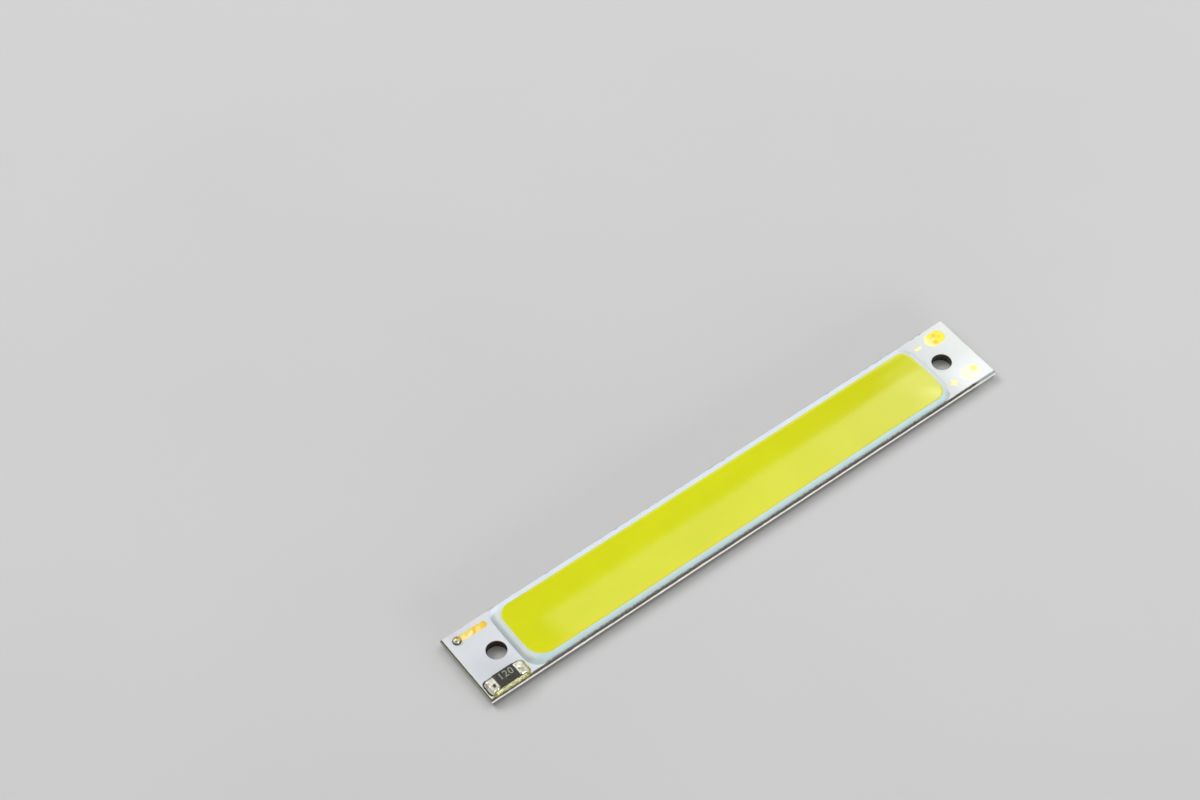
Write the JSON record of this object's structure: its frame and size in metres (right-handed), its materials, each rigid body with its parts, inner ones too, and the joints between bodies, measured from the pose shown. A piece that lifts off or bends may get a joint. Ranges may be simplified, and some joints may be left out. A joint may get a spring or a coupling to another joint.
{
  "type": "led strip light",
  "caption": "Rigid chip-on-board LED strip: white aluminium-core board, long phosphor light field in a silicone dam, end screw holes, wire pads and a series resistor.",
  "frame": {"origin": "centre of the board's underside, which is the face that lies on a heat sink or a table", "axes": "+X along the board towards the two wire pads, +Y across it to the side of the negative pad, +Z out of the lit face"},
  "size_m": [0.06, 0.008, 0.0016],
  "materials": {
    "aluminium_core": "sheared and broken edges",
    "dielectric": "filled epoxy, matte",
    "gold_plating": "thin gold over nickel, satin",
    "white_mask": "satin",
    "white_silicone": "satin, slightly translucent",
    "phosphor_gel": "smooth, soft gloss",
    "led_chip": "polished sapphire",
    "solder": "bright, uneven",
    "alumina": "matte, darkened by flux",
    "black_overcoat": "semi-gloss",
    "tin_plating": "satin",
    "flux": "clear, sticky"
  },
  "bodies": {
    "root": {"aluminium_base": "aluminium_core", "dielectric_layer": "dielectric", "copper_negative": "gold_plating", "copper_positive_input": "gold_plating", "copper_led_positive": "gold_plating", "copper_series_lands": "gold_plating", "solder_mask": "white_mask", "silicone_dam": "white_silicone", "phosphor_gel": "phosphor_gel", "die_solder": "solder", "resistor_body": "alumina", "resistor_overcoat": "black_overcoat", "resistor_cap_left": "tin_plating", "resistor_cap_right": "tin_plating", "solder_joint_left": "solder", "solder_joint_right": "solder", "solder_dome": "solder", "flux_residue": "flux", "led_die_01": "led_chip", "led_die_02": "led_chip", "led_die_03": "led_chip", "led_die_04": "led_chip", "led_die_05": "led_chip", "led_die_06": "led_chip", "led_die_07": "led_chip", "led_die_08": "led_chip", "led_die_09": "led_chip", "led_die_10": "led_chip", "led_die_11": "led_chip", "led_die_12": "led_chip", "led_die_13": "led_chip", "led_die_14": "led_chip", "led_die_15": "led_chip", "led_die_16": "led_chip", "led_die_17": "led_chip", "led_die_18": "led_chip", "led_die_19": "led_chip", "led_die_20": "led_chip", "led_die_21": "led_chip", "led_die_22": "led_chip", "led_die_23": "led_chip", "led_die_24": "led_chip"}
  },
  "joints": []
}
